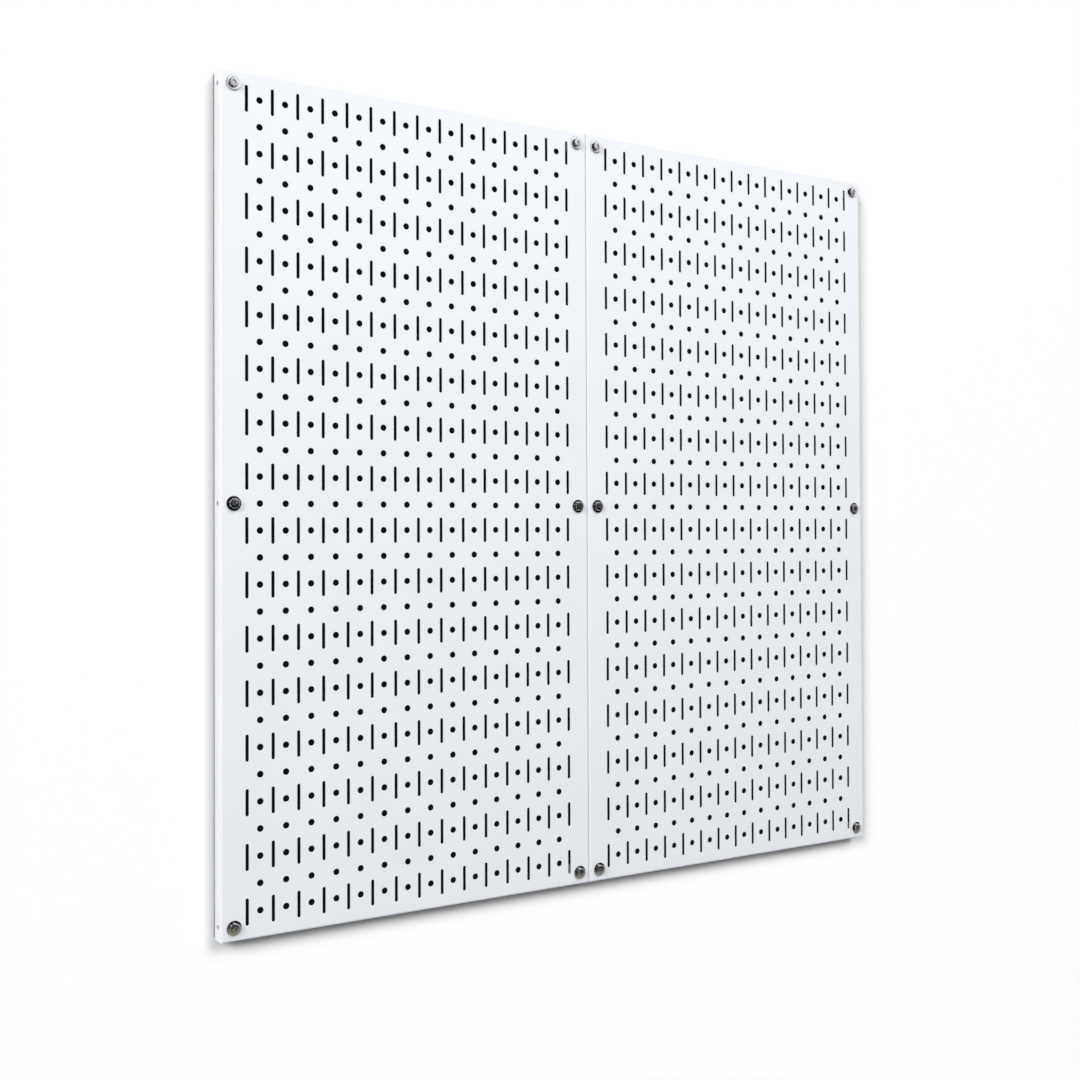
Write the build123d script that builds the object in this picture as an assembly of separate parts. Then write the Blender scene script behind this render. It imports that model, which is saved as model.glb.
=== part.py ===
from build123d import *
import os

# A pegboard tool wall: two folded sheet-steel pegboard panels side by side on a wall, each held by
# six pan-head screws with flat washers, driven into plastic anchors in the wall behind.
#
# Frame, in millimetres: +X to the viewer's right, +Y into the wall, +Z up. Y = 0 is the wall's
# surface, on which the panels' flanges rest. The origin is on it, between the two panels, at
# mid-height.

INCH = 25.4

# Panels
PANEL_PITCH = 16 * INCH  # from one panel's centre to the next
PANEL_GAP = 0.4  # hairline left between the two panels
PANEL_WIDTH = PANEL_PITCH - PANEL_GAP
PANEL_HEIGHT = 32 * INCH
PANEL_DEPTH = 0.75 * INCH  # front face to flange rim
SHEET = 1.0  # steel sheet with its powder coat
BEND_RADIUS = 2.0  # outside of the fold
CORNER_SLIT = 0.4  # gap where two flanges meet
CORNER_RELIEF_RADIUS = 1.1  # round notch that ends the slit at the fold
SLIT_REACH = 4 * BEND_RADIUS  # how far the slitting cutter reaches either side of a corner

# Perforation: columns of upright slots, with columns of round peg holes between them
PITCH = 1.0 * INCH
SLOT_COLUMNS = 15
SLOT_ROWS = 16
SLOT_ROW_PITCH = 2 * PITCH
SLOT_LENGTH = 1.0 * INCH  # end to end
SLOT_WIDTH = 0.125 * INCH
PEG_COLUMNS = 14
PEG_ROWS = 31
PEG_HOLE_RADIUS = 0.125 * INCH

# Mounting holes in the face, and joining holes in the side flanges
EDGE_DISTANCE = 0.5 * INCH
MOUNTING_X = PANEL_PITCH / 2 - EDGE_DISTANCE
MOUNTING_Z = PANEL_HEIGHT / 2 - EDGE_DISTANCE
MOUNTING_HOLE_RADIUS = 0.125 * INCH
JOINING_HOLE_RADIUS = 2.5

# Flat washer, USS number 10
WASHER_RADIUS = 0.5625 * INCH / 2
WASHER_BORE_RADIUS = 0.25 * INCH / 2
WASHER_THICKNESS = 1.2
WASHER_EDGE_ROUND = 0.25

# Pan-head screw, number 10 x 2 in, number 2 cross recess
HEAD_RADIUS = 0.373 * INCH / 2
HEAD_HEIGHT = 0.133 * INCH
SHOULDER_RADIUS = 0.6  # rounding between the straight side and the crown
CROWN_SAG = 0.15  # the crown is nearly flat
SCREW_LENGTH = 2.0 * INCH  # under the head
THREAD_RADIUS = 2.4
CORE_RADIUS = 1.65
THREAD_PITCH = INCH / 13
THREAD_CREST = 0.25  # width of the thread at its top
THREAD_ROOT = 1.1  # width of the thread where it meets the core
THREAD_OVERLAP = 0.25  # how deep the thread is rooted in the core
THREAD_START_ANGLE = 50  # degrees round the shank, clear of the core's own seam
PLAIN_NECK = 3.0  # unthreaded length under the head
POINT_LENGTH = 6.0
RECESS_SPAN = 5.1
RECESS_WING = 1.3
RECESS_DEPTH = 2.4
RECESS_TAPER = 6.5  # degrees

# Plastic wall anchor
ANCHOR_LENGTH = 1.25 * INCH
ANCHOR_RADIUS = 4.0
ANCHOR_BORE_RADIUS = THREAD_RADIUS + 0.05
ANCHOR_COLLAR_RADIUS = 5.4
ANCHOR_COLLAR = 0.8
ANCHOR_PLAIN_LENGTH = 12.0
BARB_COUNT = 5
BARB_PITCH = 3.0
BARB_DEPTH = 0.45
ANCHOR_TIP_RADIUS = 2.9
ANCHOR_SLIT = 0.9
ANCHOR_SLIT_START = 8.0

CUT_MARGIN = 1.0  # how far a cutter runs past the surface that it opens
FRONT_Y = -PANEL_DEPTH
HEAD_SEAT_Y = FRONT_Y - WASHER_THICKNESS


def upright(y):
    """A sketch plane facing the room at depth y, with local x to the right and local y up."""
    return Plane(origin=(0, y, 0), x_dir=(1, 0, 0), z_dir=(0, -1, 0))


def turned(profile_points):
    """The solid made by turning an outline of (radius, y) points about the Y axis."""
    outline = Polyline(*[(radius, y) for radius, y in profile_points], close=True)
    return revolve(make_face(outline), axis=Axis.Y)


def circle_wire(x, z, radius):
    return Wire.make_circle(radius, Plane(origin=(x, FRONT_Y, z), z_dir=(0, -1, 0)))


def slot_wire(x, z):
    sketch = upright(FRONT_Y) * Pos(x, z) * Rot(0, 0, 90) * SlotOverall(SLOT_LENGTH, SLOT_WIDTH)
    return sketch.face().outer_wire()


def centred(count, pitch):
    """Places of count things in a row, evenly spaced about zero."""
    return [(i - (count - 1) / 2) * pitch for i in range(count)]


def face_openings():
    """Wires of every opening in one panel's face, about the panel's centre."""
    openings = []
    for x in centred(SLOT_COLUMNS, PITCH):
        for z in centred(SLOT_ROWS, SLOT_ROW_PITCH):
            openings.append(slot_wire(x, z))
    for x in centred(PEG_COLUMNS, PITCH):
        for z in centred(PEG_ROWS, PITCH):
            openings.append(circle_wire(x, z, PEG_HOLE_RADIUS))
    for x in (-MOUNTING_X, MOUNTING_X):
        for z in (-MOUNTING_Z, 0, MOUNTING_Z):
            openings.append(circle_wire(x, z, MOUNTING_HOLE_RADIUS))
    return openings


def folded_block(inset, fold_radius, back_y):
    """A block inside the panel's outline by inset, with its four front edges rounded."""
    front = FRONT_Y + inset
    block = Pos(0, (front + back_y) / 2, 0) * Box(
        PANEL_WIDTH - 2 * inset, back_y - front, PANEL_HEIGHT - 2 * inset
    )
    front_edges = block.faces().sort_by(Axis.Y)[0].edges()
    return fillet(front_edges, fold_radius)


def flanges():
    """The four folds and flanges of a panel, without its flat face."""
    tray = folded_block(0, BEND_RADIUS, 0)
    tray -= folded_block(SHEET, BEND_RADIUS - SHEET, CUT_MARGIN)
    flat = Pos(0, FRONT_Y, 0) * Box(
        PANEL_WIDTH - 2 * BEND_RADIUS, 2 * BEND_RADIUS, PANEL_HEIGHT - 2 * BEND_RADIUS
    )
    tray -= flat

    slit_depth = PANEL_DEPTH - BEND_RADIUS
    slit = Box(SLIT_REACH, slit_depth, CORNER_SLIT)
    relief = Cylinder(CORNER_RELIEF_RADIUS, SHEET)
    relief_y = FRONT_Y + BEND_RADIUS + CORNER_RELIEF_RADIUS
    for side in (-1, 1):
        for end in (-1, 1):
            x = side * PANEL_WIDTH / 2
            z = end * PANEL_HEIGHT / 2
            tray -= Pos(x, -slit_depth / 2, z) * Rot(0, -45 * side * end, 0) * slit
            tray -= Pos(x - side * SHEET / 2, relief_y, z) * Rot(0, 90, 0) * relief
            tray -= Pos(x, relief_y, z - end * SHEET / 2) * relief

    joining_drill = Rot(0, 90, 0) * Cylinder(JOINING_HOLE_RADIUS, PANEL_WIDTH + CUT_MARGIN)
    for z in (-MOUNTING_Z, 0, MOUNTING_Z):
        tray -= Pos(0, FRONT_Y / 2, z) * joining_drill
    return tray


def panel():
    """One panel, about its own centre: a perforated face with a flange folded back on each side."""
    flat_width = PANEL_WIDTH - 2 * BEND_RADIUS
    flat_height = PANEL_HEIGHT - 2 * BEND_RADIUS
    outline = Wire.make_rect(flat_width, flat_height, upright(FRONT_Y))
    perforated = Face(outline, face_openings())
    plate = extrude(perforated, amount=SHEET, dir=(0, 1, 0))
    return plate + flanges()


def washer():
    """A flat washer with its rim slightly rounded, seated on the front face."""
    front = HEAD_SEAT_Y
    back = FRONT_Y
    edge = WASHER_EDGE_ROUND
    return turned([
        (WASHER_BORE_RADIUS, back),
        (WASHER_RADIUS - edge, back),
        (WASHER_RADIUS, back - edge),
        (WASHER_RADIUS, front + edge),
        (WASHER_RADIUS - edge, front),
        (WASHER_BORE_RADIUS, front),
    ])


def screw_head():
    """A pan head: a straight side, a small shoulder, a nearly flat crown and a cross recess."""
    top = HEAD_SEAT_Y - HEAD_HEIGHT
    crown_radius = HEAD_RADIUS - SHOULDER_RADIUS
    crown_edge = top + CROWN_SAG
    shoulder_end = crown_edge + SHOULDER_RADIUS
    shoulder = CenterArc((crown_radius, shoulder_end), SHOULDER_RADIUS, start_angle=270, arc_size=90)
    crown = ThreePointArc((0, top), (crown_radius / 2, top + CROWN_SAG / 4), (crown_radius, crown_edge))
    outline = [
        Line((0, HEAD_SEAT_Y), (HEAD_RADIUS, HEAD_SEAT_Y)),
        Line((HEAD_RADIUS, HEAD_SEAT_Y), (HEAD_RADIUS, shoulder_end)),
        shoulder,
        crown,
        Line((0, top), (0, HEAD_SEAT_Y)),
    ]
    head = revolve(make_face(outline), axis=Axis.Y)
    cross = Rectangle(RECESS_SPAN, RECESS_WING) + Rectangle(RECESS_WING, RECESS_SPAN)
    mouth = Plane(origin=(0, top, 0), x_dir=(1, 0, 0), z_dir=(0, 1, 0)) * cross
    recess = extrude(mouth, amount=RECESS_DEPTH, taper=RECESS_TAPER)
    return head - recess


def thread(start, end):
    """A helical ridge round the screw's core, from depth start to depth end."""
    path_plane = Plane(origin=(0, start, 0), x_dir=(1, 0, 0), z_dir=(0, 1, 0))
    helix = path_plane * Helix(pitch=THREAD_PITCH, height=end - start, radius=CORE_RADIUS)
    section = Plane(origin=helix @ 0, x_dir=(1, 0, 0), z_dir=helix % 0) * make_face(Polyline(
        (-THREAD_OVERLAP, -THREAD_ROOT / 2),
        (THREAD_RADIUS - CORE_RADIUS, -THREAD_CREST / 2),
        (THREAD_RADIUS - CORE_RADIUS, THREAD_CREST / 2),
        (-THREAD_OVERLAP, THREAD_ROOT / 2),
        close=True,
    ))
    return Rot(0, THREAD_START_ANGLE, 0) * sweep(section, path=helix, is_frenet=True)


def screw():
    """A pan-head screw with its head on the washer and its point in the wall."""
    tip = HEAD_SEAT_Y + SCREW_LENGTH
    point_start = tip - POINT_LENGTH
    shank = turned([
        (0, HEAD_SEAT_Y),
        (CORE_RADIUS, HEAD_SEAT_Y),
        (CORE_RADIUS, point_start),
        (0, tip),
    ])
    plain = screw_head() + shank
    threaded = plain + thread(HEAD_SEAT_Y + PLAIN_NECK, point_start)
    assert threaded.volume > 1.1 * plain.volume, "the thread is missing"
    return threaded


def anchor():
    """A split plastic anchor: collar, plain barrel, barbed legs and a blunt tip."""
    profile = [
        (ANCHOR_BORE_RADIUS, -ANCHOR_COLLAR),
        (ANCHOR_COLLAR_RADIUS, -ANCHOR_COLLAR),
        (ANCHOR_COLLAR_RADIUS, 0),
        (ANCHOR_RADIUS, 0),
        (ANCHOR_RADIUS, ANCHOR_PLAIN_LENGTH),
    ]
    for i in range(BARB_COUNT):
        start = ANCHOR_PLAIN_LENGTH + i * BARB_PITCH
        profile.append((ANCHOR_RADIUS - BARB_DEPTH, start))
        profile.append((ANCHOR_RADIUS, start + BARB_PITCH))
    profile.append((ANCHOR_TIP_RADIUS, ANCHOR_LENGTH))
    profile.append((ANCHOR_BORE_RADIUS, ANCHOR_LENGTH))
    body = turned(profile)

    slit_length = ANCHOR_LENGTH + CUT_MARGIN - ANCHOR_SLIT_START
    slit = Pos(0, ANCHOR_SLIT_START + slit_length / 2, 0) * Box(
        ANCHOR_SLIT, slit_length, 4 * ANCHOR_RADIUS
    )
    return body - slit


def save(shape, name, x=0.0, z=0.0):
    """Writes one sub-part, moved to its place on the wall."""
    solids = shape.solids()
    assert len(solids) == 1, f"{name} has {len(solids)} solids"
    export_step(Pos(x, 0, z) * solids[0], f"parts/{name}.step")


os.makedirs("parts", exist_ok=True)

one_panel = panel()
one_washer = washer()
one_screw = screw()
one_anchor = anchor()

rows = {"top": MOUNTING_Z, "middle": 0.0, "bottom": -MOUNTING_Z}
for panel_name, panel_x in (("left", -PANEL_PITCH / 2), ("right", PANEL_PITCH / 2)):
    save(one_panel, f"{panel_name}_panel", panel_x)
    for column_name, column_x in (("left", -MOUNTING_X), ("right", MOUNTING_X)):
        for row_name, row_z in rows.items():
            place = f"{panel_name}_panel_{row_name}_{column_name}"
            save(one_screw, f"screw_{place}", panel_x + column_x, row_z)
            save(one_washer, f"washer_{place}", panel_x + column_x, row_z)
            save(one_anchor, f"wall_anchor_{place}", panel_x + column_x, row_z)
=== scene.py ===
import math
import random

import bmesh
import bpy
from mathutils import Matrix, Vector
from mathutils.geometry import delaunay_2d_cdt


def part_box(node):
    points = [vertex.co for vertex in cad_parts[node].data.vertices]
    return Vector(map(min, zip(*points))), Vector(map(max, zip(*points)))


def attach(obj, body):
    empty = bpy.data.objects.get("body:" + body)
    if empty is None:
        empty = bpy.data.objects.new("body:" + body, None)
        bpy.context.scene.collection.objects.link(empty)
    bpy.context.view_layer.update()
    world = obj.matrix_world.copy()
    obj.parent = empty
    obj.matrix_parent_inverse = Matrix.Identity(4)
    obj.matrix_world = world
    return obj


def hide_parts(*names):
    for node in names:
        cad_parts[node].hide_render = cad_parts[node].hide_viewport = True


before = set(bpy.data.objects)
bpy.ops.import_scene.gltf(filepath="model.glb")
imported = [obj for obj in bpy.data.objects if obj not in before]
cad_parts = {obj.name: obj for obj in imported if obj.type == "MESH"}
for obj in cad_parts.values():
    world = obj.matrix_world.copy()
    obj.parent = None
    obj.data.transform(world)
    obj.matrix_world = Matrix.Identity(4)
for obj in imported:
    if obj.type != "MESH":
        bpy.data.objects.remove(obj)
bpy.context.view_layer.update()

random.seed(32)

# ---------------------------------------------------------------- sizes of the panels, in metres

INCH = 0.0254
MM = 0.001
BODY = "root"

NOMINAL_WIDTH = 16 * INCH
NOMINAL_HEIGHT = 32 * INCH
SHEET = 1.0 * MM
BEND_RADIUS = 2.0 * MM  # outside of the fold
EDGE_ROUND = 0.2 * MM  # coating flowed over each cut edge
CORNER_SLIT = 0.4 * MM
CORNER_RELIEF = 1.1 * MM  # radius of the round end of a corner slit

COLUMN = 0.5 * INCH  # slot columns and peg columns take turns at this pitch
SLOT_COLUMNS = 15
SLOT_ROWS = 16
SLOT_LENGTH = 1.0 * INCH
SLOT_WIDTH = 0.125 * INCH
PEG_COLUMNS = 14
PEG_ROWS = 31
PEG_RADIUS = 0.125 * INCH
MOUNTING_RADIUS = 0.125 * INCH
MOUNTING_INSET = 0.5 * INCH
JOINING_RADIUS = 2.5 * MM
JOINING_REACH = 4.5 * MM  # half the depth of the band of flange that holds the joining holes

ROUND_STEPS = 22  # points round a circular hole
SLOT_END_STEPS = 8  # points round one end of a slot
BEND_STEPS = 6
RELIEF_STEPS = 8

panel_low, panel_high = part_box("left_panel")
PANEL_WIDTH = panel_high.x - panel_low.x
PANEL_HEIGHT = panel_high.z - panel_low.z
PANEL_DEPTH = panel_high.y - panel_low.y
FRONT_Y = panel_low.y
FLAT_U = PANEL_WIDTH / 2 - BEND_RADIUS
FLAT_V = PANEL_HEIGHT / 2 - BEND_RADIUS
MOUNTING_U = NOMINAL_WIDTH / 2 - MOUNTING_INSET
MOUNTING_V = NOMINAL_HEIGHT / 2 - MOUNTING_INSET
HOLE_HEIGHTS = (-MOUNTING_V, 0, MOUNTING_V)  # of the mounting holes and of the joining holes
JOINING_FRONT = PANEL_DEPTH / 2 - JOINING_REACH
JOINING_BACK = PANEL_DEPTH / 2 + JOINING_REACH


# ---------------------------------------------------------------- mesh tools

WELD_STEPS = 1e7  # a metre: points in the same tenth of a micrometre become one
SHARP_ANGLE = 35  # degrees between two faces
CONVEX_HULL = 0  # the triangulation's output: everything inside the border
CLOSE = 1e-6  # millimetres within which the triangulation takes two points as one


class Surface:
    """Collects faces by their corner points and welds them into one mesh."""

    def __init__(self):
        self.points = []
        self.faces = []
        self.index = {}

    def point(self, position):
        key = tuple(round(value * WELD_STEPS) for value in position)
        if key not in self.index:
            self.index[key] = len(self.points)
            self.points.append(tuple(position))
        return self.index[key]

    def face(self, positions):
        loop = []
        for position in positions:
            number = self.point(position)
            if number not in loop:
                loop.append(number)
        if len(loop) >= 3:
            self.faces.append(loop)

    def strip(self, row, next_row):
        """Quads between two rows of points."""
        for i in range(len(row) - 1):
            self.face((row[i], row[i + 1], next_row[i + 1], next_row[i]))

    def mesh(self, name):
        mesh = bpy.data.meshes.new(name)
        mesh.from_pydata(self.points, [], self.faces)
        tidy_normals(mesh, SHARP_ANGLE)
        return mesh


def tidy_normals(mesh, sharp_angle):
    """Points every face outwards and marks the edges sharper than sharp_angle, in degrees."""
    work = bmesh.new()
    work.from_mesh(mesh)
    bmesh.ops.recalc_face_normals(work, faces=work.faces)
    work.to_mesh(mesh)
    work.free()
    mesh.shade_smooth()
    mesh.set_sharp_from_angle(angle=math.radians(sharp_angle))


def circle(radius):
    """A function that gives the outline of a round hole, made larger by grow."""
    def outline(grow):
        ring = []
        for i in range(ROUND_STEPS):
            angle = math.tau * i / ROUND_STEPS
            ring.append(((radius + grow) * math.cos(angle), (radius + grow) * math.sin(angle)))
        return ring
    return outline


def slot_outline(grow):
    """The outline of an upright slot with round ends, made larger by grow."""
    radius = SLOT_WIDTH / 2 + grow
    reach = (SLOT_LENGTH - SLOT_WIDTH) / 2
    ring = []
    for end in (1, -1):
        for i in range(SLOT_END_STEPS):
            angle = math.pi * i / (SLOT_END_STEPS - 1)
            ring.append((end * radius * math.cos(angle), end * (reach + radius * math.sin(angle))))
    return ring


def inside(point, ring):
    """Whether a point lies in an anticlockwise convex ring."""
    for i, start in enumerate(ring):
        end = ring[(i + 1) % len(ring)]
        along = (end[0] - start[0], end[1] - start[1])
        across = (point[0] - start[0], point[1] - start[1])
        if along[0] * across[1] - along[1] * across[0] < 0:
            return False
    return True


def annulus(border, ring):
    """Triangles, as lists of (u, v), that fill a border except for a ring inside it."""
    # Worked out in millimetres, because the triangulation's own tolerances are absolute.
    points = [Vector(p) / MM for p in border + ring]
    edges = []
    for first, count in ((0, len(border)), (len(border), len(ring))):
        for i in range(count):
            edges.append((first + i, first + (i + 1) % count))
    flat, _, faces, _, _, _ = delaunay_2d_cdt(points, edges, [], CONVEX_HULL, CLOSE)
    hole = [tuple(Vector(p) / MM) for p in ring]
    kept = []
    for corners in faces:
        middle = sum((flat[i] for i in corners), Vector((0, 0))) / len(corners)
        if not inside(middle, hole):
            kept.append([tuple(flat[i] * MM) for i in corners])
    return kept


class Tile:
    """A patch of sheet round one opening, about the opening's centre."""

    def __init__(self, us, vs, outline):
        border = [(u, vs[0]) for u in us[:-1]]
        border += [(us[-1], v) for v in vs[:-1]]
        border += [(u, vs[-1]) for u in us[:0:-1]]
        border += [(us[0], v) for v in vs[:0:-1]]
        # the wall of the opening: a rounded front edge, the plain wall, a broken back edge
        self.rings = []
        for turn in (0, 45, 90):
            angle = math.radians(turn)
            grow = EDGE_ROUND * (1 - math.sin(angle))
            self.rings.append((outline(grow), EDGE_ROUND * (1 - math.cos(angle))))
        self.rings.append((outline(0), SHEET - EDGE_ROUND))
        self.rings.append((outline(EDGE_ROUND), SHEET))
        self.front = annulus(border, self.rings[0][0])
        self.back = annulus(border, self.rings[-1][0])

    def place(self, surface, where):
        """where(u, v, depth) gives the place of a point of the patch, depth counting into the sheet."""
        for corners in self.front:
            surface.face([where(u, v, 0) for u, v in corners])
        for corners in self.back:
            surface.face([where(u, v, SHEET) for u, v in corners])
        rows = []
        for ring, depth in self.rings:
            rows.append([where(u, v, depth) for u, v in ring + ring[:1]])
        for row, next_row in zip(rows, rows[1:]):
            surface.strip(row, next_row)


def blank(surface, where, u0, u1, v0, v1):
    """A plain rectangle of sheet, both skins."""
    for depth in (0, SHEET):
        surface.face([where(u, v, depth) for u, v in ((u0, v0), (u1, v0), (u1, v1), (u0, v1))])


def centred(count, pitch):
    """Places at an even pitch, symmetric about 0."""
    return [(i - (count - 1) / 2) * pitch for i in range(count)]


def moved(where, u_shift, v_shift):
    """A where function for a patch moved along the sheet."""
    return lambda u, v, depth: where(u + u_shift, v + v_shift, depth)


# ---------------------------------------------------------------- panels

def u_stations():
    """Where the joints between tiles meet the upper and lower bends."""
    return [-FLAT_U] + centred(2 * SLOT_COLUMNS, COLUMN) + [FLAT_U]


def v_stations():
    """Where the joints between tiles meet the side bends."""
    return [-FLAT_V] + centred(2 * PEG_ROWS + 1, COLUMN) + [FLAT_V]


def place_slots(surface, where):
    half = COLUMN / 2
    tiles = {}
    for u in centred(SLOT_COLUMNS, 2 * COLUMN):
        for v in centred(SLOT_ROWS, 4 * COLUMN):
            low = max(v - 2 * COLUMN, -FLAT_V) - v
            high = min(v + 2 * COLUMN, FLAT_V) - v
            key = (round(low / MM), round(high / MM))
            if key not in tiles:
                tiles[key] = Tile([-half, half], [low, -COLUMN, 0, COLUMN, high], slot_outline)
            tiles[key].place(surface, moved(where, u, v))


def place_peg_holes(surface, where):
    half = COLUMN / 2
    tile = Tile([-half, half], [-COLUMN, 0, COLUMN], circle(PEG_RADIUS))
    top = PEG_ROWS * COLUMN
    for u in centred(PEG_COLUMNS, 2 * COLUMN):
        for v in centred(PEG_ROWS, 2 * COLUMN):
            tile.place(surface, moved(where, u, v))
        blank(surface, where, u - half, u + half, top, FLAT_V)
        blank(surface, where, u - half, u + half, -FLAT_V, -top)


def place_margins(surface, where):
    """The strips at both sides of the grid, with the mounting holes."""
    stations = v_stations()
    inner = SLOT_COLUMNS * COLUMN - COLUMN / 2
    for side in (-1, 1):
        u0, u1 = sorted((side * inner, side * FLAT_U))
        for v in HOLE_HEIGHTS:
            low = max(v - COLUMN, -FLAT_V) - v
            high = min(v + COLUMN, FLAT_V) - v
            u = side * MOUNTING_U
            tile = Tile([u0 - u, u1 - u], [low, 0, high], circle(MOUNTING_RADIUS))
            tile.place(surface, moved(where, u, v))
        for v0, v1 in zip(stations, stations[1:]):
            middle = (v0 + v1) / 2
            if all(abs(middle - v) > COLUMN for v in HOLE_HEIGHTS):
                blank(surface, where, u0, u1, v0, v1)


def panel_face(surface):
    """The flat perforated front, in tiles that share their corners."""
    def where(u, v, depth):
        return (u, FRONT_Y + depth, v)

    place_slots(surface, where)
    place_peg_holes(surface, where)
    place_margins(surface, where)


def flange_rows():
    """Rows of the folded edge, as (outer reach, outer depth, inner reach, inner depth, pull-back)."""
    inner_radius = BEND_RADIUS - SHEET
    rows = []
    for i in range(BEND_STEPS + 1):
        angle = math.radians(90 * i / BEND_STEPS)
        rows.append((
            BEND_RADIUS * math.sin(angle),
            BEND_RADIUS * (1 - math.cos(angle)),
            inner_radius * math.sin(angle),
            BEND_RADIUS - inner_radius * math.cos(angle),
            0,
        ))
    half_slit = CORNER_SLIT / 2
    end = math.degrees(math.asin(half_slit / CORNER_RELIEF))
    for i in range(1, RELIEF_STEPS + 1):
        angle = math.radians((180 - end) * i / RELIEF_STEPS)
        depth = BEND_RADIUS + CORNER_RELIEF * (1 - math.cos(angle))
        pull = CORNER_RELIEF * math.sin(angle)
        rows.append((BEND_RADIUS, depth, inner_radius, depth, pull))
    for depth in (JOINING_FRONT, JOINING_BACK, PANEL_DEPTH - EDGE_ROUND):
        rows.append((BEND_RADIUS, depth, inner_radius, depth, half_slit))
    rows.append((
        BEND_RADIUS - EDGE_ROUND, PANEL_DEPTH, inner_radius + EDGE_ROUND, PANEL_DEPTH, half_slit
    ))
    return rows


def joining_patch(surface, where, flat, hole):
    """The patch of flange round the joining hole that lies at hole along the edge."""
    middle = PANEL_DEPTH / 2
    low = max(hole - COLUMN, -flat) - hole
    high = min(hole + COLUMN, flat) - hole
    band = [JOINING_FRONT - middle, JOINING_BACK - middle]
    tile = Tile([low, 0, high], band, circle(JOINING_RADIUS))
    tile.place(surface, lambda s, d, t: where(s + hole, BEND_RADIUS - t, d + middle))


def flange(surface, where, stations, flat, holes):
    """One folded edge. where(s, reach, depth) takes s along the edge and reach out of the flat."""
    rows = flange_rows()
    outer_rows = []
    inner_rows = []
    for outer, outer_depth, inner, inner_depth, pull in rows:
        for kept, reach, depth in (
            (outer_rows, outer, outer_depth), (inner_rows, inner, inner_depth)
        ):
            end = flat + reach - pull
            line = [-end] + stations + [end]
            kept.append([where(s, reach, depth) for s in line])
    joining_row = next(i for i, row in enumerate(rows) if row[1] == JOINING_FRONT)
    skipped = set()
    for hole in holes:
        for i in range(len(stations) - 1):
            if abs((stations[i] + stations[i + 1]) / 2 - hole) < COLUMN:
                skipped.add(i + 1)
    for kept in (outer_rows, inner_rows):
        for number, (row, next_row) in enumerate(zip(kept, kept[1:])):
            for i in range(len(row) - 1):
                if number == joining_row and i in skipped:
                    continue
                surface.face((row[i], row[i + 1], next_row[i + 1], next_row[i]))
    # the rim, then the two cut ends
    surface.strip(outer_rows[-1], inner_rows[-1])
    for i in range(BEND_STEPS, len(rows) - 1):
        for end in (0, -1):
            surface.face((
                outer_rows[i][end], outer_rows[i + 1][end],
                inner_rows[i + 1][end], inner_rows[i][end],
            ))
    for hole in holes:
        joining_patch(surface, where, flat, hole)


def panel_mesh():
    """One folded and perforated panel, as a single closed skin."""
    surface = Surface()
    panel_face(surface)
    for side in (-1, 1):
        flange(
            surface,
            lambda s, reach, depth: (side * (FLAT_U + reach), FRONT_Y + depth, s),
            v_stations(), FLAT_V, HOLE_HEIGHTS,
        )
        flange(
            surface,
            lambda s, reach, depth: (s, FRONT_Y + depth, side * (FLAT_V + reach)),
            u_stations(), FLAT_U, (),
        )
    return surface.mesh("panel")


# ---------------------------------------------------------------- turned parts

LATHE_STEPS = 64
SMALL_LATHE_STEPS = 48  # for screws and anchors
CUT_SHARP_ANGLE = 30  # degrees, for the parts that are cut after turning


def lathe(surface, profile, steps=LATHE_STEPS):
    """Turns a closed outline of (radius, y) points about the Y axis."""
    rings = []
    for radius, y in profile:
        ring = []
        for i in range(steps + 1):
            angle = math.tau * (i % steps) / steps
            ring.append((radius * math.cos(angle), y, radius * math.sin(angle)))
        rings.append(ring)
    for ring, next_ring in zip(rings, rings[1:] + rings[:1]):
        if max(abs(ring[0][0]), abs(next_ring[0][0])) > 0:
            surface.strip(ring, next_ring)


def corner(radius, y, round_by, start, steps=4):
    """Points of a rounded corner of a lathe outline: start in degrees, turning a quarter circle."""
    points = []
    for i in range(steps + 1):
        angle = math.radians(start + 90 * i / steps)
        points.append((radius + round_by * math.cos(angle), y + round_by * math.sin(angle)))
    return points


def prism(outlines):
    """A closed solid through outlines of the same number of points, capped at both ends."""
    surface = Surface()
    for row, next_row in zip(outlines, outlines[1:]):
        surface.strip(row + row[:1], next_row + next_row[:1])
    surface.face(outlines[0])
    surface.face(outlines[-1])
    return surface.mesh("prism")


def combine(mesh, tool_mesh, operation):
    """A mesh cut by another, or joined with it."""
    piece = bpy.data.objects.new("work", mesh)
    tool = bpy.data.objects.new("tool", tool_mesh)
    for item in (piece, tool):
        bpy.context.scene.collection.objects.link(item)
    modifier = piece.modifiers.new("combine", "BOOLEAN")
    modifier.operation = operation
    modifier.solver = "EXACT"
    modifier.object = tool
    graph = bpy.context.evaluated_depsgraph_get()
    result = bpy.data.meshes.new_from_object(piece.evaluated_get(graph))
    for item in (piece, tool):
        bpy.data.objects.remove(item)
    return result


def finished(mesh, name):
    """A combined mesh, named, without materials and with tidy normals."""
    mesh.name = name
    mesh.materials.clear()
    tidy_normals(mesh, CUT_SHARP_ANGLE)
    return mesh


# ---------------------------------------------------------------- washers

WASHER_BORE = 0.25 * INCH / 2
WASHER_FALL = 0.12 * MM  # how far the front of a washer falls towards its rim
WASHER_RIM = 0.3 * MM  # rounding of the front's outer edge
WASHER_EDGE = 0.1 * MM  # rounding of the other edges


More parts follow.
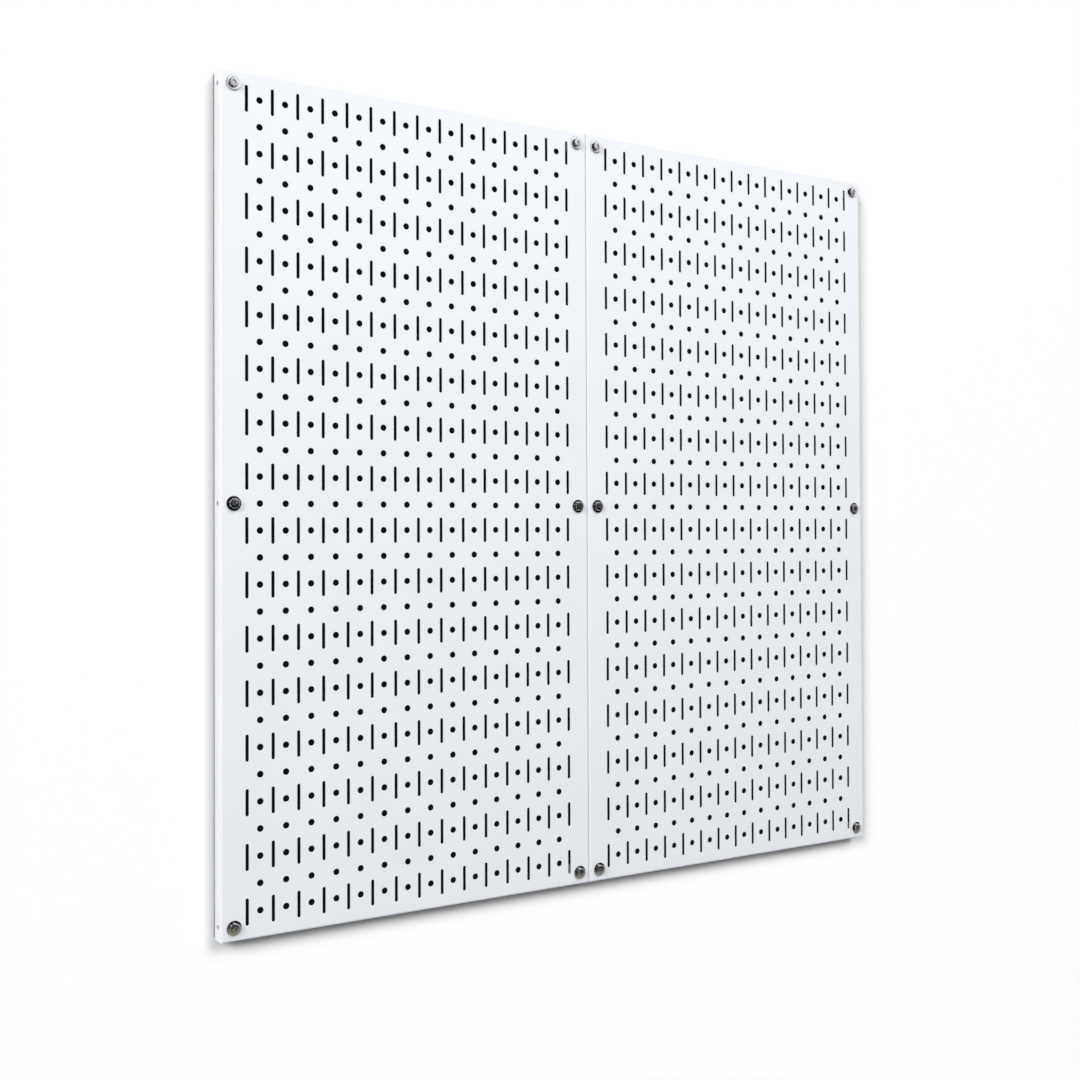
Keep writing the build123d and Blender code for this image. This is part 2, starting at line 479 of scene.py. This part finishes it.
def washer_mesh(front, back, outer):
    """A stamped washer: its front falls slightly to a rounded rim, its bore edges are broken."""
    surface = Surface()
    rim_start = outer - WASHER_RIM
    bore_end = WASHER_BORE + WASHER_EDGE
    profile = []
    for share in (0.25, 0.5, 0.75):
        radius = bore_end + (rim_start - bore_end) * share
        profile.append((radius, front + WASHER_FALL * share ** 2))
    profile += corner(rim_start, front + WASHER_FALL + WASHER_RIM, WASHER_RIM, 270)
    profile += corner(outer - WASHER_EDGE, back - WASHER_EDGE, WASHER_EDGE, 0)
    profile += corner(bore_end, back - WASHER_EDGE, WASHER_EDGE, 90)
    profile += corner(bore_end, front + WASHER_EDGE, WASHER_EDGE, 180)
    lathe(surface, profile)
    return surface.mesh("washer")


# ---------------------------------------------------------------- screws

HEAD_RADIUS = 0.373 * INCH / 2
SHOULDER = 0.6 * MM  # rounding between the crown and the side of the head
SHOULDER_STEPS = 10
CROWN_SAG = 0.15 * MM
HEAD_UNDERSIDE = 0.12 * MM  # rounding of the head's lower edge
RECESS = (  # span, wing and depth under the crown: above the mouth, inside it, at the bottom
    (5.0 * MM, 1.3 * MM, -0.5 * MM),
    (4.6 * MM, 1.2 * MM, 0.3 * MM),
    (2.2 * MM, 0.8 * MM, 2.4 * MM),
)
RECESS_CUT = 0.35  # taken off each inner corner of the cross, as a share of the wing

SCREW_LENGTH = 2.0 * INCH
CORE_RADIUS = 1.65 * MM
PLAIN_NECK = 3.0 * MM
POINT_LENGTH = 6.0 * MM
POINT_WAIST = (0.6, 0.45)  # a share of the core's radius, at a share of the point's length from the tip
THREAD_RADIUS = 2.4 * MM
THREAD_PITCH = INCH / 13
THREAD_ROOT = 1.1 * MM
THREAD_CREST = 0.25 * MM
THREAD_FOOT = 0.15 * MM  # how deep the ridge is rooted in the core
THREAD_START = 0.05 * MM  # height of the ridge at its ends, where it is still in the core
THREAD_STEPS = 24  # a turn


def cross_outline(span, wing, y):
    """A cross with its inner corners cut off, at height y on the screw's axis."""
    cut = RECESS_CUT * wing
    arm = span / 2
    half = wing / 2
    quarter = [(arm, -half), (arm, half), (half + cut, half), (half, half + cut)]
    outline = []
    for turn in range(4):
        angle = math.radians(90 * turn)
        for x, z in quarter:
            outline.append((
                x * math.cos(angle) - z * math.sin(angle), y,
                x * math.sin(angle) + z * math.cos(angle),
            ))
    return outline


def thread_mesh(start, end):
    """A helical ridge that rises from the core in half a turn, runs along it and sinks back."""
    count = int((end - start) / THREAD_PITCH * THREAD_STEPS)
    ease = THREAD_STEPS / 2
    inner = CORE_RADIUS - THREAD_FOOT
    outer_start = inner + THREAD_START
    sections = []
    for i in range(count + 1):
        angle = math.tau * i / THREAD_STEPS
        y = start + THREAD_PITCH * i / THREAD_STEPS
        rise = min(1, i / ease, (count - i) / ease)
        outer = outer_start + (THREAD_RADIUS - outer_start) * rise
        section = []
        for radius, shift in (
            (inner, -THREAD_ROOT / 2), (outer, -THREAD_CREST / 2),
            (outer, THREAD_CREST / 2), (inner, THREAD_ROOT / 2),
        ):
            section.append((radius * math.cos(angle), y + shift, radius * math.sin(angle)))
        sections.append(section)
    return prism(sections)


def screw_mesh(top, seat):
    """A pan-head screw: nearly flat crown with a cross recess, threaded shank, sharp point."""
    crown_radius = HEAD_RADIUS - SHOULDER
    tip = seat + SCREW_LENGTH
    point_start = tip - POINT_LENGTH
    waist_radius, waist_place = POINT_WAIST
    profile = [(0, top)]
    for share in (0.25, 0.5, 0.75):
        profile.append((crown_radius * share, top + CROWN_SAG * share ** 2))
    profile += corner(crown_radius, top + CROWN_SAG + SHOULDER, SHOULDER, 270, SHOULDER_STEPS)
    profile += corner(HEAD_RADIUS - HEAD_UNDERSIDE, seat - HEAD_UNDERSIDE, HEAD_UNDERSIDE, 0)
    profile += [
        (CORE_RADIUS, seat),
        (CORE_RADIUS, point_start),
        (waist_radius * CORE_RADIUS, tip - waist_place * POINT_LENGTH),
        (0, tip),
    ]
    body = Surface()
    lathe(body, profile, SMALL_LATHE_STEPS)
    recess = prism([cross_outline(span, wing, top + depth) for span, wing, depth in RECESS])
    mesh = combine(body.mesh("screw"), recess, "DIFFERENCE")
    mesh = combine(mesh, thread_mesh(seat + PLAIN_NECK, point_start), "UNION")
    return finished(mesh, "screw")


# ---------------------------------------------------------------- anchors

ANCHOR_LENGTH = 1.25 * INCH
ANCHOR_RADIUS = 4.0 * MM
ANCHOR_BORE = 2.45 * MM
ANCHOR_BEVEL = 0.15 * MM
COLLAR_RADIUS = 5.4 * MM
COLLAR = 0.8 * MM
COLLAR_ROUND = 0.3 * MM
PLAIN_BARREL = 12 * MM
BARBS = 5
BARB_LENGTH = 3 * MM
BARB_DEPTHS = (0.45 * MM, 0.02 * MM, 0.05 * MM)  # under the barrel's skin: foot, crest and heel
TIP_RADIUS = 2.9 * MM
SLIT_WIDTH = 0.9 * MM
SLIT_START = 8 * MM
SLIT_END = ANCHOR_LENGTH + 1 * MM  # past the tip, so that the slit is open there


def anchor_mesh():
    """A split wall anchor: collar, plain barrel, barbed legs and a blunt tip."""
    foot, crest, heel = BARB_DEPTHS
    profile = corner(COLLAR_RADIUS - COLLAR_ROUND, COLLAR_ROUND - COLLAR, COLLAR_ROUND, 270)
    profile += [(COLLAR_RADIUS, 0), (ANCHOR_RADIUS, 0), (ANCHOR_RADIUS, PLAIN_BARREL - ANCHOR_BEVEL)]
    for i in range(BARBS):
        start = PLAIN_BARREL + i * BARB_LENGTH
        end = start + BARB_LENGTH
        profile.append((ANCHOR_RADIUS - foot, start))
        profile.append((ANCHOR_RADIUS - crest, end - 2 * ANCHOR_BEVEL))
        profile.append((ANCHOR_RADIUS - heel, end - ANCHOR_BEVEL))
    profile += [
        (TIP_RADIUS + ANCHOR_BEVEL, ANCHOR_LENGTH - 2 * ANCHOR_BEVEL),
        (TIP_RADIUS, ANCHOR_LENGTH),
        (ANCHOR_BORE, ANCHOR_LENGTH),
        (ANCHOR_BORE, 2 * ANCHOR_BEVEL - COLLAR),
        (ANCHOR_BORE + 2 * ANCHOR_BEVEL, -COLLAR),
    ]
    body = Surface()
    lathe(body, profile, SMALL_LATHE_STEPS)

    half = SLIT_WIDTH / 2
    reach = 2 * ANCHOR_RADIUS
    slit = []
    for y in (SLIT_START, SLIT_END):
        slit.append([(-half, y, -reach), (half, y, -reach), (half, y, reach), (-half, y, reach)])
    mesh = combine(body.mesh("anchor"), prism(slit), "DIFFERENCE")
    return finished(mesh, "anchor")


# ---------------------------------------------------------------- shader tools

COLOUR_INPUTS = (6, 7)  # the sockets of a Mix node that mixes colours
COLOUR_RESULT = 2


def new_material(name):
    material = bpy.data.materials.new(name)
    material.use_nodes = True
    tree = material.node_tree
    return material, tree, tree.nodes["Principled BSDF"]


def add_node(tree, kind, inputs=None, **settings):
    """A shader node. A value is set on the socket; a socket is linked to it."""
    node = tree.nodes.new(kind)
    for key, value in settings.items():
        setattr(node, key, value)
    for key, value in (inputs or {}).items():
        if isinstance(value, bpy.types.NodeSocket):
            tree.links.new(value, node.inputs[key])
        else:
            node.inputs[key].default_value = value
    return node


def math_node(tree, operation, first, second=0.0):
    return add_node(tree, "ShaderNodeMath", {0: first, 1: second}, operation=operation).outputs[0]


def noise(tree, where, scale, detail, roughness=0.5):
    return add_node(tree, "ShaderNodeTexNoise", {
        "Vector": where, "Scale": scale, "Detail": detail, "Roughness": roughness,
    }).outputs["Fac"]


def spread(tree, source, low, high, source_low=0.3, source_high=0.7):
    """Maps a value onto a range. Its own range is that of a noise, if none is given."""
    return add_node(tree, "ShaderNodeMapRange", {
        "Value": source, "From Min": source_low, "From Max": source_high,
        "To Min": low, "To Max": high,
    }).outputs["Result"]


def blend_colours(tree, source, first, second):
    """Mixes two colours, each given as (r, g, b) or as a socket."""
    inputs = {0: source}
    for number, colour in zip(COLOUR_INPUTS, (first, second)):
        inputs[number] = (*colour, 1) if isinstance(colour, tuple) else colour
    return add_node(tree, "ShaderNodeMix", inputs, data_type="RGBA").outputs[COLOUR_RESULT]


def bumps(tree, layers):
    """Stacks bump layers of (height, distance, strength) into one normal."""
    normal = None
    for height, distance, strength in layers:
        inputs = {"Height": height, "Distance": distance, "Strength": strength}
        if normal:
            inputs["Normal"] = normal
        normal = add_node(tree, "ShaderNodeBump", inputs).outputs["Normal"]
    return normal


# ---------------------------------------------------------------- materials

COAT_COLOURS = ((0.84, 0.848, 0.856), (0.865, 0.872, 0.879))
# painted shade: grey on the walls of the openings, where the narrow holes keep the light out
PAINTED_WALL_SHADE = (0.3, 0.3, 0.31)
WALL_SHADE_FROM = (0.1 * MM, 0.3 * MM)  # depths in the sheet between which the painted shade fades in
WALL_SHADE_TO = (0.8 * MM, 0.95 * MM)  # and out again
NYLON_COLOURS = ((0.42, 0.43, 0.44), (0.5, 0.51, 0.52))


# the mask that places the painted shade
def cut_walls(tree, where):
    """1 on the walls of the openings, between the two skins of the flat face, and 0 elsewhere."""
    parts = add_node(tree, "ShaderNodeSeparateXYZ", {"Vector": where})
    depth = math_node(tree, "SUBTRACT", parts.outputs["Y"], FRONT_Y)
    mask = math_node(tree, "MULTIPLY",
                     spread(tree, depth, 0, 1, *WALL_SHADE_FROM),
                     spread(tree, depth, 1, 0, *WALL_SHADE_TO))
    for axis, flat in (("X", FLAT_U), ("Z", FLAT_V)):
        reach = math_node(tree, "ABSOLUTE", parts.outputs[axis])
        mask = math_node(tree, "MULTIPLY", mask, math_node(tree, "LESS_THAN", reach, flat))
    return mask


def powder_coat():
    """White polyester powder coat: faint orange peel, soft gloss, and grey painted shade on the walls
    of the openings.
    """
    material, tree, shader = new_material("powder_coat")
    where = add_node(tree, "ShaderNodeTexCoord").outputs["Object"]
    cloudy = noise(tree, where, scale=14, detail=4)
    peel = noise(tree, where, scale=420, detail=2)
    grain = noise(tree, where, scale=2600, detail=2)
    coat = blend_colours(tree, spread(tree, cloudy, 0, 1), *COAT_COLOURS)
    # grey painted shade on the walls of the openings
    colour = blend_colours(tree, cut_walls(tree, where), coat, PAINTED_WALL_SHADE)
    tree.links.new(colour, shader.inputs["Base Color"])
    tree.links.new(spread(tree, peel, 0.4, 0.5), shader.inputs["Roughness"])
    normal = bumps(tree, ((peel, 0.06 * MM, 0.35), (grain, 0.01 * MM, 0.3)))
    tree.links.new(normal, shader.inputs["Normal"])
    shader.inputs["IOR"].default_value = 1.5
    return material


def zinc(name, light, dark, smooth, rough, mark_scale):
    """Bright zinc plate on steel: turning marks, a fine grain and a cloudy film."""
    material, tree, shader = new_material(name)
    where = add_node(tree, "ShaderNodeTexCoord").outputs["Object"]
    film = noise(tree, where, scale=260, detail=5, roughness=0.6)
    grain = noise(tree, where, scale=2400, detail=3)
    marks = add_node(tree, "ShaderNodeTexWave", {
        "Vector": where, "Scale": mark_scale, "Distortion": 1.5, "Detail": 2.0,
    }, wave_type="RINGS", rings_direction="Y").outputs["Fac"]
    tree.links.new(blend_colours(tree, spread(tree, film, 0, 1), dark, light),
                   shader.inputs["Base Color"])
    tree.links.new(spread(tree, film, smooth, rough), shader.inputs["Roughness"])
    normal = bumps(tree, ((marks, 0.004 * MM, 0.3), (grain, 0.004 * MM, 0.3)))
    tree.links.new(normal, shader.inputs["Normal"])
    shader.inputs["Metallic"].default_value = 1.0
    return material


def anchor_plastic():
    """Grey moulded nylon with a fine matte texture and faint flow marks."""
    material, tree, shader = new_material("anchor_plastic")
    where = add_node(tree, "ShaderNodeTexCoord").outputs["Object"]
    flow = noise(tree, where, scale=160, detail=3)
    grain = noise(tree, where, scale=3000, detail=2)
    tree.links.new(blend_colours(tree, flow, *NYLON_COLOURS), shader.inputs["Base Color"])
    tree.links.new(spread(tree, flow, 0.45, 0.6), shader.inputs["Roughness"])
    tree.links.new(bumps(tree, ((grain, 0.01 * MM, 0.4),)), shader.inputs["Normal"])
    return material


COAT = powder_coat()
WASHER_ZINC = zinc("washer_zinc", light=(0.9, 0.91, 0.93), dark=(0.8, 0.81, 0.84),
                   smooth=0.05, rough=0.09, mark_scale=1500)
SCREW_ZINC = zinc("screw_zinc", light=(0.86, 0.86, 0.88), dark=(0.76, 0.76, 0.77),
                  smooth=0.15, rough=0.23, mark_scale=1100)
NYLON = anchor_plastic()


# ---------------------------------------------------------------- pieces

SCREW_TURN = 45  # degrees either way, which is every turn that a cross shows

washer_low, washer_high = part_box("washer_left_panel_top_left")
washer_radius = (washer_high.x - washer_low.x) / 2
screw_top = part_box("screw_left_panel_top_left")[0].y

shared_panel = panel_mesh()
shared_washer = washer_mesh(washer_low.y, washer_high.y, washer_radius)
shared_screw = screw_mesh(screw_top, washer_low.y)
shared_anchor = anchor_mesh()


def add_piece(name, mesh, place, stands_for, material):
    piece = bpy.data.objects.new(name, mesh)
    bpy.context.scene.collection.objects.link(piece)
    piece.location = place
    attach(piece, BODY)
    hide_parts(stands_for)
    piece.modifiers.new("even_shading", "WEIGHTED_NORMAL").keep_sharp = True
    if not mesh.materials:
        mesh.materials.append(material)
    return piece


for panel_name in ("left_panel", "right_panel"):
    low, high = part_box(panel_name)
    middle = ((low.x + high.x) / 2, 0, 0)
    add_piece(panel_name + "_shell", shared_panel, middle, panel_name, COAT)
    for row in ("top", "middle", "bottom"):
        for column in ("left", "right"):
            place = f"{panel_name}_{row}_{column}"
            low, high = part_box("washer_" + place)
            axis = ((low.x + high.x) / 2, 0, (low.z + high.z) / 2)
            add_piece("flat_washer_" + place, shared_washer, axis,
                      "washer_" + place, WASHER_ZINC)
            turned = add_piece("pan_screw_" + place, shared_screw, axis,
                               "screw_" + place, SCREW_ZINC)
            turned.rotation_euler.y = math.radians(random.uniform(-SCREW_TURN, SCREW_TURN))
            add_piece("anchor_" + place, shared_anchor, axis,
                      "wall_anchor_" + place, NYLON)


# ---------------------------------------------------------------- stage

STAGE_REACH = 12.0
FLOOR_Z = -1.0
WALL_Y = 0.3 * MM
STAGE_TONE = 0.1  # low, with lights of its own, so that the board throws little light on it
# Near-black cards just in front of the wall, seen only by the camera: painted shade for the cavity
# behind each panel, seen through its openings.
SHADE_CARD_Y = -0.6 * MM
SHADE_CARD_INSET = 1.2 * MM
SHADE_CARD_TONE = 0.01
LEFT_PAINTED_SHADOW = 0.6 * MM  # the left card shows past its panel: a painted shadow line along the wall at the panel's left edge


def stage_material(name, tone, one_sided):
    """A plain matt grey finish, which one_sided makes clear from behind."""
    material, tree, shader = new_material(name)
    tree.nodes.remove(shader)
    output = tree.nodes["Material Output"]
    matt = add_node(tree, "ShaderNodeBsdfDiffuse", {"Color": (tone, tone, tone, 1)})
    result = matt.outputs[0]
    if one_sided:
        clear = add_node(tree, "ShaderNodeBsdfTransparent")
        behind = add_node(tree, "ShaderNodeNewGeometry").outputs["Backfacing"]
        result = add_node(tree, "ShaderNodeMixShader", {
            0: behind, 1: result, 2: clear.outputs[0],
        }).outputs[0]
    tree.links.new(result, output.inputs["Surface"])
    return material


def stage_plane(name, corners, material):
    mesh = bpy.data.meshes.new(name)
    mesh.from_pydata(corners, [], [(0, 1, 2, 3)])
    mesh.materials.append(material)
    plane = bpy.data.objects.new(name, mesh)
    bpy.context.scene.collection.objects.link(plane)
    return plane


def upright(left, right, bottom, top, y):
    """The corners of an upright rectangle that faces the front."""
    return [(left, y, bottom), (right, y, bottom), (right, y, top), (left, y, top)]


wall = stage_plane(
    "wall",
    upright(-STAGE_REACH, STAGE_REACH, FLOOR_Z, STAGE_REACH, WALL_Y),
    stage_material("wall_paint", STAGE_TONE, one_sided=True),
)
wall.visible_shadow = False
wall.visible_transmission = False

# painted shade: a near-black card behind each panel stands for the shade in the cavity
for panel_name in ("left_panel", "right_panel"):
    low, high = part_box(panel_name)
    # on the left panel the card reaches past the flange, as a painted shadow line at the wall
    left = low.x - LEFT_PAINTED_SHADOW if panel_name == "left_panel" else low.x + SHADE_CARD_INSET
    shade_card = stage_plane(
        panel_name + "_painted_shade_card",
        upright(left, high.x - SHADE_CARD_INSET, low.z + SHADE_CARD_INSET, high.z - SHADE_CARD_INSET, SHADE_CARD_Y),
        stage_material("painted_shade_" + panel_name, SHADE_CARD_TONE, one_sided=True),
    )
    shade_card.visible_diffuse = False
    shade_card.visible_glossy = False
    shade_card.visible_shadow = False
    shade_card.visible_transmission = False

floor = stage_plane("floor", [
    (-STAGE_REACH, -STAGE_REACH, FLOOR_Z), (STAGE_REACH, -STAGE_REACH, FLOOR_Z),
    (STAGE_REACH, STAGE_REACH, FLOOR_Z), (-STAGE_REACH, STAGE_REACH, FLOOR_Z),
], stage_material("floor_paint", STAGE_TONE, one_sided=False))
floor.visible_diffuse = False
floor.visible_glossy = False
floor.visible_shadow = False


# ---------------------------------------------------------------- surroundings

DARK = (0.004, 0.004, 0.005)
OLIVE = (0.26, 0.26, 0.2)
GREY = (0.7, 0.7, 0.7)
WHITE = (1.0, 1.0, 1.0)
BACKDROP = (0.93, 0.93, 0.935)

# Colours by elevation in degrees: what lights matt surfaces, then what metal mirrors of each side.
SOFT_LIGHT = [(-5, (0.31, 0.345, 0.42)), (5, (0.1, 0.1, 0.1))]
LEFT_SIDE = [
    (-27, DARK), (-23, OLIVE), (-14, OLIVE), (-10, DARK),
    (10, DARK), (13, GREY), (22, GREY), (25, DARK),
]
RIGHT_SIDE = [
    (-60, OLIVE), (-17, OLIVE), (-12, DARK), (9, DARK),
    (13, WHITE), (40, WHITE), (52, (0.06, 0.06, 0.065)), (90, (0.04, 0.04, 0.045)),
]
FAR_RIGHT = [(-24, DARK), (-18, WHITE), (40, WHITE), (50, DARK)]


def elevation_ramp(tree, share, stops):
    """Colours by elevation. share is the sine of the elevation, taken from 0 to 1."""
    node = add_node(tree, "ShaderNodeValToRGB", {"Fac": share})
    elements = node.color_ramp.elements
    while len(elements) < len(stops):
        elements.new(0.5)
    for element, (elevation, colour) in zip(elements, stops):
        element.position = (math.sin(math.radians(elevation)) + 1) / 2
        element.color = (*colour, 1)
    return node.outputs["Color"]


def studio_world():
    """A dim light for matt surfaces, bluish from below, and separate surroundings for metal."""
    world = bpy.data.worlds.new("studio")
    world.use_nodes = True
    tree = world.node_tree
    tree.nodes.clear()
    direction = add_node(tree, "ShaderNodeTexCoord").outputs["Generated"]
    parts = add_node(tree, "ShaderNodeSeparateXYZ", {"Vector": direction})
    share = spread(tree, parts.outputs["Z"], 0, 1, -1, 1)
    ahead = math_node(tree, "MULTIPLY", parts.outputs["Y"], -1.0)
    azimuth = math_node(tree, "ARCTAN2", parts.outputs["X"], ahead)

    # Azimuths are in degrees from the front to the right. At each pair the next side fades in.
    mirrored = DARK
    for start, end, side in (
        (-27, -23, elevation_ramp(tree, share, LEFT_SIDE)),
        (-13, -10, DARK),
        (8, 13, elevation_ramp(tree, share, RIGHT_SIDE)),
        (48, 50, elevation_ramp(tree, share, FAR_RIGHT)),
    ):
        reached = spread(tree, azimuth, 0, 1, math.radians(start), math.radians(end))
        mirrored = blend_colours(tree, reached, mirrored, side)

    rays = add_node(tree, "ShaderNodeLightPath")
    soft = elevation_ramp(tree, share, SOFT_LIGHT)
    lit = blend_colours(tree, rays.outputs["Is Glossy Ray"], soft, mirrored)
    seen = blend_colours(tree, rays.outputs["Is Camera Ray"], lit, BACKDROP)
    background = add_node(tree, "ShaderNodeBackground", {"Color": seen, "Strength": 1.0})
    output = add_node(tree, "ShaderNodeOutputWorld")
    tree.links.new(background.outputs[0], output.inputs["Surface"])
    return world


bpy.context.scene.world = studio_world()
bpy.context.scene.view_settings.view_transform = "Standard"


# ---------------------------------------------------------------- lights

OUT_OF_WALL = Vector((0, -1, 0))
UP = Vector((0, 0, 1))


def aimed_light(name, data, direction):
    """A light that shines from direction."""
    light = bpy.data.objects.new(name, data)
    light.rotation_euler = direction.to_track_quat("Z", "Y").to_euler()
    bpy.context.scene.collection.objects.link(light)
    return light


def area_light(name, towards, distance, width, height, power):
    """A soft box seen from the board in the direction towards, and facing it."""
    data = bpy.data.lights.new(name, "AREA")
    data.shape = "RECTANGLE"
    data.size = width
    data.size_y = height
    data.energy = power
    direction = Vector(towards).normalized()
    light = aimed_light(name, data, direction)
    light.location = direction * distance
    light.visible_camera = False
    light.visible_glossy = False


def alone(plane):
    """A collection that holds one plane of the stage, for the lights that act on nothing else."""
    receivers = bpy.data.collections.new(plane.name)
    receivers.objects.link(plane)
    return receivers


def wash(receivers, facing, name, towards, spread_angle, level):
    """A soft light for one plane of the stage alone, which adds level to its brightness."""
    direction = Vector(towards).normalized()
    data = bpy.data.lights.new(name, "SUN")
    data.angle = math.radians(spread_angle)
    data.energy = level * math.pi / (STAGE_TONE * direction.dot(facing))
    aimed_light(name, data, direction).light_linking.receiver_collection = receivers


area_light("left_box", (-1.65, -1, 0.7), distance=6.0, width=2.4, height=3.2, power=215)
area_light("top_box", (0.25, -1, 0.85), distance=6.0, width=3.4, height=3.6, power=276)
area_light("back_box", (1.2, 1, 0.8), distance=4.0, width=2.0, height=2.0, power=150)

wall_alone = alone(wall)
wash(wall_alone, OUT_OF_WALL, "wash_left", (-1.3, -1, 0.75), spread_angle=22, level=0.4)
wash(wall_alone, OUT_OF_WALL, "wash_right", (0.28, -1, 0.75), spread_angle=28, level=0.37)
wash(wall_alone, OUT_OF_WALL, "wash_low_left", (-1.3, -1, -0.2), spread_angle=22, level=0.08)
wash(wall_alone, OUT_OF_WALL, "wash_low_right", (0.28, -1, -0.2), spread_angle=28, level=0.05)
wash(alone(floor), UP, "wash_floor", (0.2, -0.5, 1), spread_angle=30, level=0.75)


# ---------------------------------------------------------------- camera

CAMERA_PLACE = (-0.7914, -1.22827, -0.02905)
CAMERA_AZIMUTH = 31.355  # degrees to the right of straight at the wall
CAMERA_ELEVATION = 0.837
CAMERA_ROLL = -0.245
LENS = 44.39
SENSOR_WIDTH = 36
LENS_SHIFT = (-0.0044, -0.0243)

camera = bpy.data.objects.new("camera", bpy.data.cameras.new("camera"))
bpy.context.scene.collection.objects.link(camera)
camera.data.lens = LENS
camera.data.sensor_width = SENSOR_WIDTH
camera.data.shift_x, camera.data.shift_y = LENS_SHIFT
turn = Matrix.Rotation(math.radians(-CAMERA_AZIMUTH), 4, "Z")
turn = turn @ Matrix.Rotation(math.radians(90 + CAMERA_ELEVATION), 4, "X")
turn = turn @ Matrix.Rotation(math.radians(CAMERA_ROLL), 4, "Z")
camera.matrix_world = Matrix.Translation(CAMERA_PLACE) @ turn
bpy.context.scene.camera = camera
